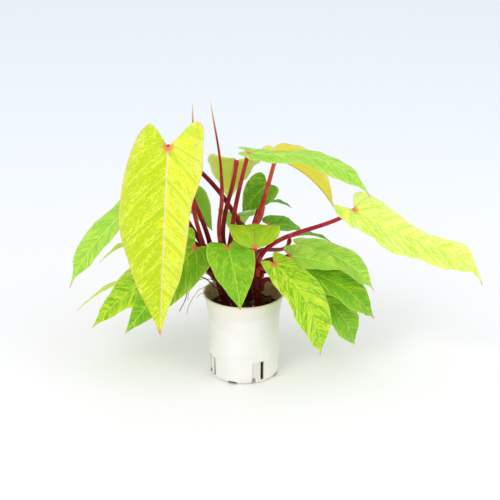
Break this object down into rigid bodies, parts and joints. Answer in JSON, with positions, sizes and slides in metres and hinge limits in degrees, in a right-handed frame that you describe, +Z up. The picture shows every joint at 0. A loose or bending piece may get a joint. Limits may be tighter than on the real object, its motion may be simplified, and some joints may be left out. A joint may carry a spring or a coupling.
{
  "type": "potted philodendron",
  "caption": "Variegated philodendron with heart-based drip-tip leaves on red petioles, in a round plastic nursery pot with side slots.",
  "frame": {"origin": "centre of the pot's flat underside", "axes": "+Z up, +X to the right of someone who looks at the plant's front, +Y away from them"},
  "size_m": [0.5267, 0.234, 0.3661],
  "materials": {
    "pot_plastic": "satin off-white",
    "potting_mix": "rough, dark brown",
    "stem_bark": "dull, dark red",
    "petiole_skin": "satin, dark red to pink",
    "leaf_skin": "satin, mottled yellow-green",
    "spear_skin": "satin, red with a tan tip",
    "root_skin": "dull brown"
  },
  "bodies": {
    "root": {"nursery_pot": "pot_plastic", "potting_mix": "potting_mix", "stem_left": "stem_bark", "stem_centre": "stem_bark", "stem_back": "stem_bark", "stem_right": "stem_bark", "leaf_01_blade": "leaf_skin", "leaf_01_petiole": "petiole_skin", "leaf_02_blade": "leaf_skin", "leaf_02_petiole": "petiole_skin", "leaf_03_blade": "leaf_skin", "leaf_03_petiole": "petiole_skin", "leaf_04_blade": "leaf_skin", "leaf_04_petiole": "petiole_skin", "leaf_05_blade": "leaf_skin", "leaf_05_petiole": "petiole_skin", "leaf_06_blade": "leaf_skin", "leaf_06_petiole": "petiole_skin", "leaf_07_blade": "leaf_skin", "leaf_07_petiole": "petiole_skin", "leaf_08_blade": "leaf_skin", "leaf_08_petiole": "petiole_skin", "leaf_09_blade": "leaf_skin", "leaf_09_petiole": "petiole_skin", "leaf_10_blade": "leaf_skin", "leaf_10_petiole": "petiole_skin", "leaf_11_blade": "leaf_skin", "leaf_11_petiole": "petiole_skin", "leaf_12_blade": "leaf_skin", "leaf_12_petiole": "petiole_skin", "leaf_13_blade": "leaf_skin", "leaf_13_petiole": "petiole_skin", "leaf_14_blade": "leaf_skin", "leaf_14_petiole": "petiole_skin", "leaf_15_blade": "leaf_skin", "leaf_15_petiole": "petiole_skin", "leaf_16_blade": "leaf_skin", "leaf_16_petiole": "petiole_skin", "leaf_17_blade": "leaf_skin", "leaf_17_petiole": "petiole_skin", "leaf_18_blade": "leaf_skin", "leaf_18_petiole": "petiole_skin", "leaf_19_blade": "leaf_skin", "leaf_19_petiole": "petiole_skin", "leaf_20_blade": "leaf_skin", "leaf_20_petiole": "petiole_skin", "leaf_21_blade": "leaf_skin", "leaf_21_petiole": "petiole_skin", "leaf_22_blade": "leaf_skin", "leaf_22_petiole": "petiole_skin", "leaf_23_blade": "leaf_skin", "leaf_23_petiole": "petiole_skin", "leaf_24_blade": "leaf_skin", "leaf_24_petiole": "petiole_skin", "spear_left": "spear_skin", "spear_centre": "spear_skin", "aerial_root_left": "root_skin", "aerial_root_arc": "root_skin", "aerial_root_back": "root_skin"}
  },
  "joints": []
}
